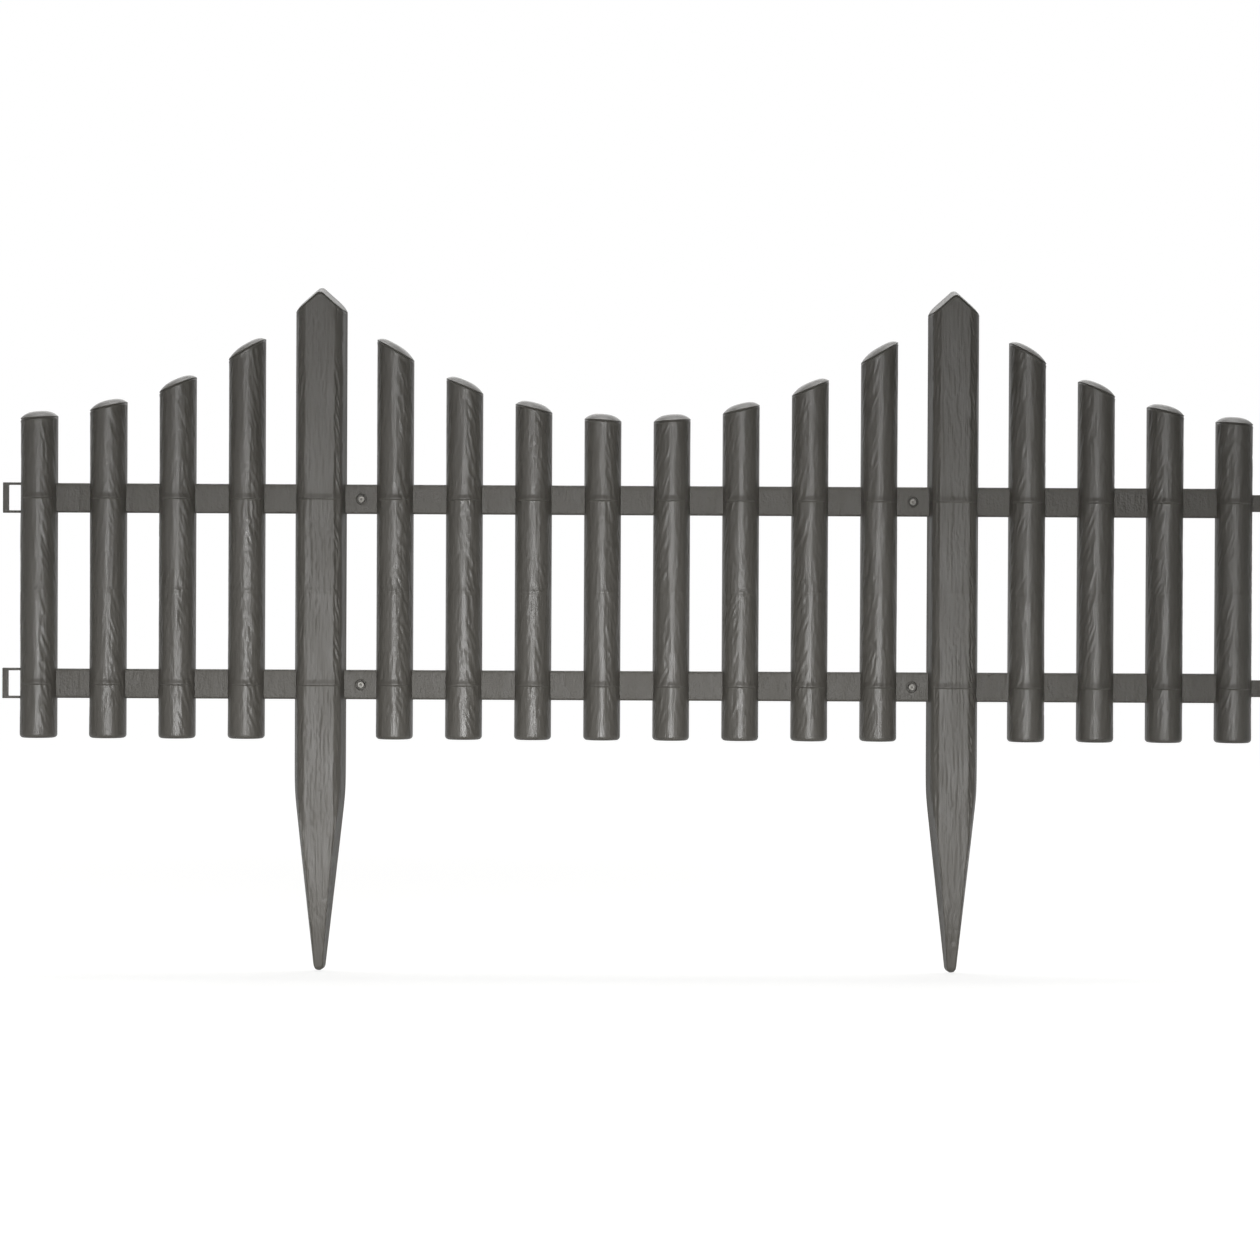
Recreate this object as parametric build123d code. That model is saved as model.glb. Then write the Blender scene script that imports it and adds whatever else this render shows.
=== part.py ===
from build123d import *
import os
from math import cos, radians, tan

# Garden edging fence panel: one plastic moulding of half-round pickets and two pointed
# ground stakes on two flat rails. All sizes are in millimetres. X runs along the panel,
# Y points to its flat back, Z points up from ground level. The origin is on the back of
# the left stake, on its centre line, where the stake meets the ground.

# Layout along the panel
STAKE_COUNT = 2
STAKE_TO_PICKET = 34.5
PICKET_PITCH = 32.2

# Rails
RAIL_HEIGHT = 13.7
RAIL_THICKNESS = 3.0
LOWER_RAIL_LEVEL = 25.3
RAIL_SPACING = 86.3

# Pickets, listed from the stake outwards: height of the cut front rim over the upper rail,
# and how steeply that rim falls away from the stake
RIM_HEIGHTS = (69.4, 52.8, 42.6, 37.3)
RIM_SLOPES = (29.0, 22.3, 13.0, 4.0)
PICKET_WIDTH = 17.2
PICKET_LAND = 2.0
PICKET_CAP_RISE = 2.8
PICKET_FOOT_BEVEL = 1.2

# Stakes
STAKE_WIDTH = 23.9
STAKE_FACE_WIDTH = 14.4
STAKE_FLANK = 7.0
STAKE_DEPTH = 12.5
STAKE_ARRIS_ROUND = 2.0
STAKE_PEAK_HEIGHT = 99.1
STAKE_PEAK_ROUND = 2.4
STAKE_ROOF_SLOPE = 41.5
STAKE_SHOULDER_ROUND = 2.5
STAKE_DRAFT = 9.5
SPIKE_START = 24.5
SPIKE_START_ROUND = 60.0
SPIKE_LENGTH = 83.2
SPIKE_TIP_WIDTH = 5.2
SPIKE_TIP_DEPTH = 5.0
SPIKE_TIP_ROUND = 2.4

# Hollow back: wall, facets round a picket's hollow, cross ribs, and ribs down the spike
WALL = 1.8
HOLLOW_FACETS = 6
RIB = 1.6
GROUND_RIB = 3.0
SPIKE_RIB_STEP = 27.0

# Links: open loops on the left end, tongues with a lug on the right end
LOOP_REACH = 8.3
LOOP_HEIGHT = 14.2
LOOP_BAR = 1.2
LOOP_END_BAR = 2.8
LOOP_THICKNESS = 1.5
TONGUE_HEIGHT = 7.9
LINK_CLEARANCE = 0.3

# Moulding gates: a small nub in a round recess on the rails
GATE_NUB_DIAMETER = 3.4
GATE_NUB_RISE = 1.0
GATE_DIMPLE_DIAMETER = 1.4
GATE_DIMPLE_DEPTH = 0.5
GATE_RECESS_DIAMETER = 6.6
GATE_RECESS_DEPTH = 0.5

# How far cutting solids run past the faces that they cut
OVERRUN = 1.0

# How close a corner lies to the level that picks it out
MATCH = 0.01

# Worked-out places
UPPER_RAIL_LEVEL = LOWER_RAIL_LEVEL + RAIL_SPACING
RAIL_LEVELS = (LOWER_RAIL_LEVEL, UPPER_RAIL_LEVEL)
MIDDLE_LEVEL = LOWER_RAIL_LEVEL + RAIL_SPACING / 2
PICKETS_PER_SIDE = len(RIM_HEIGHTS)
SIDE_REACH = STAKE_TO_PICKET + (PICKETS_PER_SIDE - 1) * PICKET_PITCH
BAY = 2 * SIDE_REACH + PICKET_PITCH
STAKE_PLACES = [index * BAY for index in range(STAKE_COUNT)]
PICKET_RADIUS = PICKET_WIDTH / 2
STAKE_PEAK = UPPER_RAIL_LEVEL + STAKE_PEAK_HEIGHT
SPIKE_TIP = -SPIKE_START - SPIKE_LENGTH
LEFT_EDGE = STAKE_PLACES[0] - SIDE_REACH - PICKET_RADIUS
RIGHT_EDGE = STAKE_PLACES[-1] + SIDE_REACH + PICKET_RADIUS
PICKET_GAP = PICKET_PITCH - PICKET_WIDTH


def block(x_range, y_range, z_range):
    """Box between two limits on each axis."""
    size = [high - low for low, high in (x_range, y_range, z_range)]
    middle = [(high + low) / 2 for low, high in (x_range, y_range, z_range)]
    return Pos(*middle) * Box(*size)


def cross_ribs(levels, thickness):
    """Flat webs across a member's hollow, one at each level."""
    reach = STAKE_WIDTH
    half = thickness / 2
    return [block((-reach, reach), (-reach, reach), (level - half, level + half)) for level in levels]


def picket_section(round_front, half_width):
    """Picket section: a round front on straight flanks, run out behind the back plane."""
    flanks = Pos(0, (OVERRUN - PICKET_LAND) / 2) * Rectangle(2 * half_width, OVERRUN + PICKET_LAND)
    back_space = Pos(0, OVERRUN + half_width) * Rectangle(4 * half_width, 2 * half_width)
    return Pos(0, -PICKET_LAND) * round_front + flanks - back_space


def picket_cap(rim_level, slope):
    """Ball on a wide trunk whose top is a picket's domed end: it meets the sides at the rim."""
    half_rim = PICKET_RADIUS / cos(radians(slope))
    ball_radius = (half_rim**2 + PICKET_CAP_RISE**2) / (2 * PICKET_CAP_RISE)
    centre = Pos(0, 0, rim_level) * Rot(0, slope, 0) * Pos(0, 0, PICKET_CAP_RISE - ball_radius)
    trunk = Pos(0, 0, centre.position.Z / 2) * Cylinder(2 * PICKET_WIDTH, centre.position.Z)
    return centre * Sphere(ball_radius) + trunk


def picket_form(rim_level, slope):
    """Outer form of a picket: half-round section, domed end and bevelled foot."""
    section = picket_section(Circle(PICKET_RADIUS), PICKET_RADIUS)
    column = extrude(section, rim_level + PICKET_WIDTH)
    foot = column.faces().sort_by(Axis.Z)[0]
    foot_edges = foot.edges().filter_by(lambda edge: edge.center().Y < OVERRUN - MATCH)
    column = chamfer(foot_edges, PICKET_FOOT_BEVEL)
    space_behind = block((-STAKE_WIDTH, STAKE_WIDTH), (0, 2 * OVERRUN), (-OVERRUN, STAKE_PEAK))
    return (column & picket_cap(rim_level, slope)) - space_behind


def picket_hollow(rim_level, slope):
    """Hollow in a picket's back: a faceted half round, cut off along the rim, between cross ribs."""
    radius = PICKET_RADIUS - WALL
    section = picket_section(RegularPolygon(radius, 2 * HOLLOW_FACETS), radius)
    column = Pos(0, 0, WALL) * extrude(section, rim_level + PICKET_WIDTH)
    ceiling = Plane(Pos(0, 0, rim_level - WALL) * Rot(0, slope, 0))
    hollow = split(column, bisect_by=ceiling, keep=Keep.BOTTOM)
    return hollow - cross_ribs((*RAIL_LEVELS, MIDDLE_LEVEL), RIB)


def stake_outline():
    """Front outline of a stake: gabled top, straight sides and tapered spike."""
    half = STAKE_WIDTH / 2
    half_tip = SPIKE_TIP_WIDTH / 2
    shoulder = STAKE_PEAK - half * tan(radians(STAKE_ROOF_SLOPE))
    right_side = [(half, shoulder), (half, -SPIKE_START), (half_tip, SPIKE_TIP)]
    left_side = [(-x, z) for x, z in reversed(right_side)]
    outline = make_face(Polyline((0, STAKE_PEAK), *right_side, *left_side, close=True))
    corners = outline.vertices().sort_by(Axis.Y)
    outline = fillet(corners[0:2], SPIKE_TIP_ROUND)
    corners = outline.vertices().filter_by(lambda v: abs(v.Y + SPIKE_START) < MATCH)
    outline = fillet(corners, SPIKE_START_ROUND)
    corners = outline.vertices().filter_by(lambda v: abs(v.Y - shoulder) < MATCH)
    outline = fillet(corners, STAKE_SHOULDER_ROUND)
    return fillet(outline.vertices().sort_by(Axis.Y)[-1], STAKE_PEAK_ROUND)


def stake_section(inset):
    """Half-octagon stake section with softened arrises, run out behind the back plane."""
    half = STAKE_WIDTH / 2
    half_face = STAKE_FACE_WIDTH / 2
    behind = OVERRUN + WALL
    right_side = [(half, behind), (half, -STAKE_FLANK), (half_face, -STAKE_DEPTH)]
    left_side = [(-x, y) for x, y in reversed(right_side)]
    section = make_face(Polyline(*right_side, *left_side, close=True))
    section = fillet(section.vertices().sort_by(Axis.Y)[0:2], STAKE_ARRIS_ROUND)
    return offset(section, -inset) if inset else section


def stake_side(inset):
    """Side view of a stake: flat back, straight front, spike curving back to its tip."""
    front = inset - STAKE_DEPTH
    tip_front = inset - SPIKE_TIP_DEPTH
    top = STAKE_PEAK + OVERRUN
    curve = TangentArc((front, -SPIKE_START), (tip_front, SPIKE_TIP), tangent=(0, -1))
    straight = Polyline(
        (tip_front, SPIKE_TIP), (OVERRUN, SPIKE_TIP), (OVERRUN, top), (front, top), (front, -SPIKE_START)
    )
    return make_face(curve + straight)


def stake_form(inset, behind):
    """Solid form of a stake, drawn in by a wall: the common part of its three views."""
    outline = offset(stake_outline(), -inset) if inset else stake_outline()
    front_view = extrude(Plane.XZ.offset(-behind) * outline, STAKE_DEPTH + behind, taper=STAKE_DRAFT)
    side_view = extrude(Plane.YZ * stake_side(inset), STAKE_WIDTH, both=True)
    column = Pos(0, 0, SPIKE_TIP) * extrude(stake_section(inset), STAKE_PEAK - SPIKE_TIP)
    return front_view & side_view & column


def stake_parts():
    """Outer form of a stake and the hollow that is taken out of its back."""
    spike_ribs = int(SPIKE_LENGTH // SPIKE_RIB_STEP)
    spike_levels = [-SPIKE_START - index * SPIKE_RIB_STEP for index in range(spike_ribs)]
    ribs = cross_ribs((*RAIL_LEVELS, MIDDLE_LEVEL, *spike_levels), RIB) + cross_ribs((0,), GROUND_RIB)
    return stake_form(0, 0), stake_form(WALL, OVERRUN) - ribs


def rail(level):
    """Flat rail along the back, from the outer side of the first picket to that of the last."""
    half = RAIL_HEIGHT / 2
    return block((LEFT_EDGE, RIGHT_EDGE), (-RAIL_THICKNESS, 0), (level - half, level + half))


def loop(level):
    """Open rectangular loop on the left end, for the tongue of the next panel."""
    half = LOOP_HEIGHT / 2
    half_window = half - LOOP_BAR
    end = LEFT_EDGE - LOOP_REACH
    plate = block((end, LEFT_EDGE + WALL / 2), (-LOOP_THICKNESS, 0), (level - half, level + half))
    window = block(
        (end + LOOP_END_BAR, LEFT_EDGE), (-RAIL_THICKNESS, OVERRUN), (level - half_window, level + half_window)
    )
    return plate - window


def tongue(level):
    """Tongue on the right end: it lies over a loop's end bar and its lug fills the window."""
    half = TONGUE_HEIGHT / 2
    window_start = RIGHT_EDGE + PICKET_GAP - LOOP_REACH + LOOP_END_BAR
    lug_start = window_start + LINK_CLEARANCE
    lug_end = RIGHT_EDGE + PICKET_GAP - LINK_CLEARANCE
    levels = (level - half, level + half)
    strip_back = -LOOP_THICKNESS - LINK_CLEARANCE
    strip = block((RIGHT_EDGE - WALL / 2, lug_end), (-RAIL_THICKNESS, strip_back), levels)
    lug = block((lug_start, lug_end), (-RAIL_THICKNESS, 0), levels)
    return strip + lug


def gate_places():
    """Points on the rails' front where the plastic came in: inside the two stakes."""
    from_stake = (STAKE_WIDTH / 2 + STAKE_TO_PICKET - PICKET_RADIUS) / 2
    sides = [STAKE_PLACES[0] + from_stake, STAKE_PLACES[-1] - from_stake]
    return [Pos(x, -RAIL_THICKNESS, level) for x in sides for level in RAIL_LEVELS]


def gate_disc(diameter, low, high):
    """Round disc across the rail's front, between two heights over that face."""
    return Rot(90, 0, 0) * Pos(0, 0, (low + high) / 2) * Cylinder(diameter / 2, high - low)


def gate_nub():
    """Raised nub that stands on the floor of its recess."""
    return gate_disc(GATE_NUB_DIAMETER, -GATE_RECESS_DEPTH, GATE_NUB_RISE)


def gate_recess():
    """Round recess in the rail's front."""
    return gate_disc(GATE_RECESS_DIAMETER, -GATE_RECESS_DEPTH, GATE_NUB_RISE)


def gate_dimple():
    """Small dimple in the top of a nub."""
    return gate_disc(GATE_DIMPLE_DIAMETER, GATE_NUB_RISE - GATE_DIMPLE_DEPTH, GATE_NUB_RISE + OVERRUN)


def fence_panel():
    """The whole moulding: members on the rails, then the hollows out of their backs."""
    members = []
    hollows = []
    stake, stake_hollow = stake_parts()
    members += [Pos(x, 0, 0) * stake for x in STAKE_PLACES]
    hollows += [Pos(x, 0, 0) * stake_hollow for x in STAKE_PLACES]
    for index, (rim_height, slope) in enumerate(zip(RIM_HEIGHTS, RIM_SLOPES)):
        picket = picket_form(UPPER_RAIL_LEVEL + rim_height, slope)
        hollow = picket_hollow(UPPER_RAIL_LEVEL + rim_height, slope)
        reach = STAKE_TO_PICKET + index * PICKET_PITCH
        for x in STAKE_PLACES:
            members += [Pos(x + reach, 0, 0) * picket, Pos(x - reach, 0, 0) * mirror(picket, Plane.YZ)]
            hollows += [Pos(x + reach, 0, 0) * hollow, Pos(x - reach, 0, 0) * mirror(hollow, Plane.YZ)]
    links = [make(level) for level in RAIL_LEVELS for make in (loop, tongue)]
    rails = [rail(level) for level in RAIL_LEVELS]
    body = rails[0] + (rails[1:] + members + links)
    body = body - (hollows + [place * gate_recess() for place in gate_places()])
    body = body + [place * gate_nub() for place in gate_places()]
    return body - [place * gate_dimple() for place in gate_places()]


os.makedirs("parts", exist_ok=True)
panel = fence_panel()
print("fence_panel:", len(panel.solids()), "solid, volume", round(panel.volume), "mm3")
export_step(panel, "parts/fence_panel.step")
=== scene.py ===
import logging
import math
from dataclasses import dataclass
from enum import Enum
from typing import Any, Sequence

import bmesh
import bpy
import numpy as np
from bmesh.types import BMesh
from bpy.types import Material, Mesh, Node, NodeSocket, NodeTree, Object
from mathutils import Matrix, Vector


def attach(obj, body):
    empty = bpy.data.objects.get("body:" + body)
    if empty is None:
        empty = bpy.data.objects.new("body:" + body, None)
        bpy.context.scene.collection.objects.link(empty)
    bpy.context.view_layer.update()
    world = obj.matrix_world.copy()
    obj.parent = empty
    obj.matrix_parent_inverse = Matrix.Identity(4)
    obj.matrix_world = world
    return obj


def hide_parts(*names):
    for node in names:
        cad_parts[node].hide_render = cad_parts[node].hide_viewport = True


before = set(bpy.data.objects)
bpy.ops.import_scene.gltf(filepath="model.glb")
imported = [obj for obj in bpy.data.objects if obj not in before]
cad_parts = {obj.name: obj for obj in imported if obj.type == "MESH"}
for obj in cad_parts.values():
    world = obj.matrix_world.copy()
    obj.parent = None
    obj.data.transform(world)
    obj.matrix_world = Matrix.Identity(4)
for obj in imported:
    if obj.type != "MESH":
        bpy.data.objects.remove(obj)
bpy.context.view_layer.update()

# A lawn edging panel: half-round pickets and two ground stakes on two rails, all one
# moulding of dark grey polypropylene. Shapes are worked out in millimetres in the model's
# own frame: X along the panel, Y out of its flat back, Z up from ground level.

NODE = "fence_panel"
BODY = "root"
MM = 0.001
SHARP_DEG = 34.0
MERGE_MM = 0.002
DEGENERATE_MM = 0.001
WHITE = "#ffffff"

Array = np.ndarray
Pair = tuple[float, float]
Triple = tuple[float, float, float]

LOG = logging.getLogger("fence_panel")


class Flank(Enum):
    """Flank of a member, seen from the front."""

    LEFT = -1
    RIGHT = 1


class Fall(Enum):
    """Which way a picket's cut top falls, seen from the front."""

    TO_LEFT = -1
    TO_RIGHT = 1


@dataclass(frozen=True)
class PanelSizes:
    """Sizes of the moulding that its pieces share, in millimetres."""

    stake_to_picket: float = 34.5
    picket_pitch: float = 32.2
    picket_width: float = 17.2
    picket_land: float = 2.0
    stake_width: float = 23.9
    stake_draft_deg: float = 9.5
    lower_rail: float = 25.3
    rail_spacing: float = 86.3
    rail_height: float = 13.7
    rail_thickness: float = 3.0
    rim_heights: tuple[float, ...] = (69.4, 52.8, 42.6, 37.3)
    rim_slopes: tuple[float, ...] = (29.0, 22.3, 13.0, 4.0)
    wall: float = 1.8
    rib: float = 1.6
    ground_rib: float = 3.0

    @property
    def upper_rail(self) -> float:
        """Level of the upper rail's middle line."""
        return self.lower_rail + self.rail_spacing

    @property
    def rail_levels(self) -> Pair:
        """Levels of both rails' middle lines."""
        return self.lower_rail, self.upper_rail

    @property
    def rib_levels(self) -> Triple:
        """Levels of the cross ribs that every member has: both rails and half way."""
        return self.lower_rail, self.lower_rail + self.rail_spacing / 2, self.upper_rail

    @property
    def side_reach(self) -> float:
        """Distance from a stake to the outermost picket of its side."""
        return self.stake_to_picket + (len(self.rim_heights) - 1) * self.picket_pitch

    @property
    def stake_places(self) -> Pair:
        """Middle lines of the two stakes."""
        return 0.0, 2 * self.side_reach + self.picket_pitch

    @property
    def left_edge(self) -> float:
        """Outer flank of the first picket."""
        return self.stake_places[0] - self.side_reach - self.picket_width / 2

    @property
    def right_edge(self) -> float:
        """Outer flank of the last picket."""
        return self.stake_places[1] + self.side_reach + self.picket_width / 2


SIZES = PanelSizes()


def linear(hex_colour: str) -> tuple[float, float, float, float]:
    """Turn an sRGB hex colour into linear RGBA.

    Args:
        hex_colour: Six hex digits after a hash sign.

    Returns:
        Linear red, green and blue, and an alpha of one.
    """
    shares = [int(hex_colour[place : place + 2], 16) / 255 for place in (1, 3, 5)]
    red, green, blue = [s / 12.92 if s <= 0.04045 else ((s + 0.055) / 1.055) ** 2.4 for s in shares]
    return red, green, blue, 1.0


def add_node(tree: NodeTree, kind: str, settings: dict[str, Any], inputs: dict[Any, Any]) -> Node:
    """Add a shader node with its settings, values and links.

    Args:
        tree: Node tree that the node goes into.
        kind: Blender's name of the node type.
        settings: Attributes to set on the node.
        inputs: Input name or number to a value, or to the output socket that feeds it.

    Returns:
        The new node.
    """
    node = tree.nodes.new(kind)
    for name, value in settings.items():
        setattr(node, name, value)
    for name, value in inputs.items():
        if isinstance(value, NodeSocket):
            tree.links.new(value, node.inputs[name])
        else:
            node.inputs[name].default_value = value
    return node


def math_node(tree: NodeTree, operation: str, *values: Any) -> NodeSocket:
    """Add a sum, product or the like of values or sockets.

    Args:
        tree: Node tree that the node goes into.
        operation: Blender's name of the operation.
        values: Values or output sockets, in order.

    Returns:
        The result.
    """
    return add_node(tree, "ShaderNodeMath", {"operation": operation}, dict(enumerate(values))).outputs[0]


def ranged(tree: NodeTree, value: NodeSocket, given: Pair, wanted: Pair) -> NodeSocket:
    """Add a node that carries one range of values over to another and stops at its ends.

    Args:
        tree: Node tree that the node goes into.
        value: Socket that gives the value.
        given: Ends of the range that comes in.
        wanted: Ends of the range that goes out.

    Returns:
        The value in its new range.
    """
    limits = dict(zip(("From Min", "From Max", "To Min", "To Max"), (*given, *wanted)))
    return add_node(tree, "ShaderNodeMapRange", {"clamp": True}, {"Value": value, **limits}).outputs[0]


def seen_share(tree: NodeTree, mirrored: Any = 1.0) -> NodeSocket:
    """Add a switch that tells rays seen by the eye, in reflections or through glass from light.

    Args:
        tree: Node tree that the switch goes into.
        mirrored: Value or socket that says how much reflections show.

    Returns:
        One on camera rays, the mirrored share on glossy and transmission rays, or zero.
    """
    path = add_node(tree, "ShaderNodeLightPath", {}, {})
    share = path.outputs["Is Camera Ray"]
    for ray in ("Is Glossy Ray", "Is Transmission Ray"):
        part = math_node(tree, "MULTIPLY", path.outputs[ray], mirrored)
        share = math_node(tree, "MAXIMUM", share, part)
    return share


def smooth_step(value: Array, low: float, high: float) -> Array:
    """Ease from 0 at low to 1 at high."""
    share = np.clip((value - low) / (high - low), 0.0, 1.0)
    return share * share * (3 - 2 * share)


def make_object(name: str, vertices: Array, faces: Sequence[Sequence[int]], sharp_deg: float) -> Object:
    """Make a mesh object from points in millimetres, with duplicates merged.

    Args:
        name: Name of the piece.
        vertices: Points, one row each.
        faces: Corner numbers of each face, in order round its outer side.
        sharp_deg: Edges that turn more than this stay crisp.

    Returns:
        The new object, linked to the scene.
    """
    mesh = bpy.data.meshes.new(name)
    mesh.from_pydata((np.asarray(vertices) * MM).tolist(), [], [list(face) for face in faces])
    work = bmesh.new()
    work.from_mesh(mesh)
    bmesh.ops.remove_doubles(work, verts=work.verts, dist=MERGE_MM * MM)
    bmesh.ops.dissolve_degenerate(work, edges=work.edges, dist=DEGENERATE_MM * MM)
    return finish_object(name, mesh, work, sharp_deg)


def finish_object(name: str, mesh: Mesh, work: BMesh, sharp_deg: float) -> Object:
    """Write worked geometry into a mesh, shade it and link it as an object.

    Args:
        name: Name of the piece.
        mesh: Mesh that takes the geometry.
        work: Worked geometry, which is freed.
        sharp_deg: Edges that turn more than this stay crisp.

    Returns:
        The new object, linked to the scene.
    """
    work.to_mesh(mesh)
    work.free()
    mesh.shade_smooth()
    mesh.set_sharp_from_angle(angle=math.radians(sharp_deg))
    piece = bpy.data.objects.new(name, mesh)
    bpy.context.scene.collection.objects.link(piece)
    return piece


@dataclass(frozen=True)
class StreakNoise:
    """Smooth seeded noise drawn out into streaks."""

    seed: int
    width_mm: float
    length_mm: float
    lean_deg: float = 0.0

    def sample(self, across: Array, along: Array) -> Array:
        """Noise at points of a surface.

        Args:
            across: Distances across the member, in millimetres.
            along: Distances along the member, in millimetres.

        Returns:
            Values from 0 to 1.
        """
        cells = 61
        lattice = np.random.default_rng(self.seed).random((cells, cells))
        lean = math.radians(self.lean_deg)
        u = (across * math.cos(lean) - along * math.sin(lean)) / self.width_mm
        v = (across * math.sin(lean) + along * math.cos(lean)) / self.length_mm
        i, j = np.floor(u).astype(int), np.floor(v).astype(int)
        a, b = u - i, v - j
        a, b = a * a * (3 - 2 * a), b * b * (3 - 2 * b)
        i, j, i_next, j_next = i % cells, j % cells, (i + 1) % cells, (j + 1) % cells
        low = lattice[i, j] * (1 - a) + lattice[i_next, j] * a
        high = lattice[i, j_next] * (1 - a) + lattice[i_next, j_next] * a
        return low * (1 - b) + high * b


@dataclass(frozen=True)
class WoodGrain:
    """Wood grain cut into the mould: fibres, groups of feathered strokes, flecks and slow swells.

    The strokes fan out downwards from the middle line, like the barbs of a feather, and
    are deeper on one flank than on the other.
    """

    seed: int
    deep_flank: Flank
    lean_deg: float = 21.0
    stroke_width_mm: float = 0.85
    stroke_length_mm: float = 5.0
    stroke_mm: float = 0.23
    stroke_zone: Pair = (0.02, 0.85)
    shallow_share: float = 0.4
    fleck_mm: float = 0.12
    fibre_width_mm: float = 0.95
    fibre_mm: float = 0.15
    swell_mm: float = 0.24
    sway_mm: float = 1.6
    sway_patch_mm: Pair = (40.0, 13.0)
    fibre_length_mm: float = 9.0
    swell_patch_mm: Pair = (4.6, 30.0)
    group_patch_mm: Pair = (7.0, 19.0)
    fleck_patch_mm: Pair = (0.95, 1.9)
    zone_fade: Pair = (0.16, 0.25)
    stroke_onset: Pair = (0.36, 0.66)
    group_onset: Pair = (0.15, 0.5)
    fleck_onset: Pair = (0.55, 0.85)
    fleck_end: Pair = (0.4, 0.9)

    def depth(self, across: Array, along: Array, half_arc: float) -> Array:
        """How deep the grain lies under the plain surface.

        Args:
            across: Distances from the middle line round the section, in millimetres.
            along: Levels, in millimetres.
            half_arc: Distance from the middle line to the back edge.

        Returns:
            Depths in millimetres, zero or more.
        """
        drift = StreakNoise(self.seed + 3, *self.sway_patch_mm).sample(across, along)
        sway = self.sway_mm * (drift - 0.5)
        fibres = StreakNoise(self.seed, self.fibre_width_mm, self.fibre_length_mm)
        swell = StreakNoise(self.seed + 1, *self.swell_patch_mm).sample(across, along)
        group = StreakNoise(self.seed + 2, *self.group_patch_mm).sample(across, along)
        near, far = (share * half_arc for share in self.stroke_zone)
        near_fade, far_fade = (share * half_arc for share in self.zone_fade)
        marks = np.zeros_like(across)
        for flank in Flank:
            out = across * flank.value
            barbs = StreakNoise(
                self.seed + 6 + flank.value, self.stroke_width_mm, self.stroke_length_mm, -self.lean_deg
            ).sample(out + sway, along)
            reach = smooth_step(out, near, near + near_fade)
            reach *= smooth_step(-out, -far, far_fade - far)
            share = reach * (1.0 if flank is self.deep_flank else self.shallow_share)
            strokes = smooth_step(barbs, *self.stroke_onset) * smooth_step(group, *self.group_onset)
            marks += share * self.stroke_mm * strokes
        flecks = StreakNoise(self.seed + 9, *self.fleck_patch_mm).sample(across, along)
        spared = 1.0 - smooth_step(group, *self.fleck_end)
        marks += self.fleck_mm * smooth_step(flecks, *self.fleck_onset) * spared
        fibre = fibres.sample(across + sway, along)
        return marks + self.fibre_mm * fibre + self.swell_mm * swell


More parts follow.
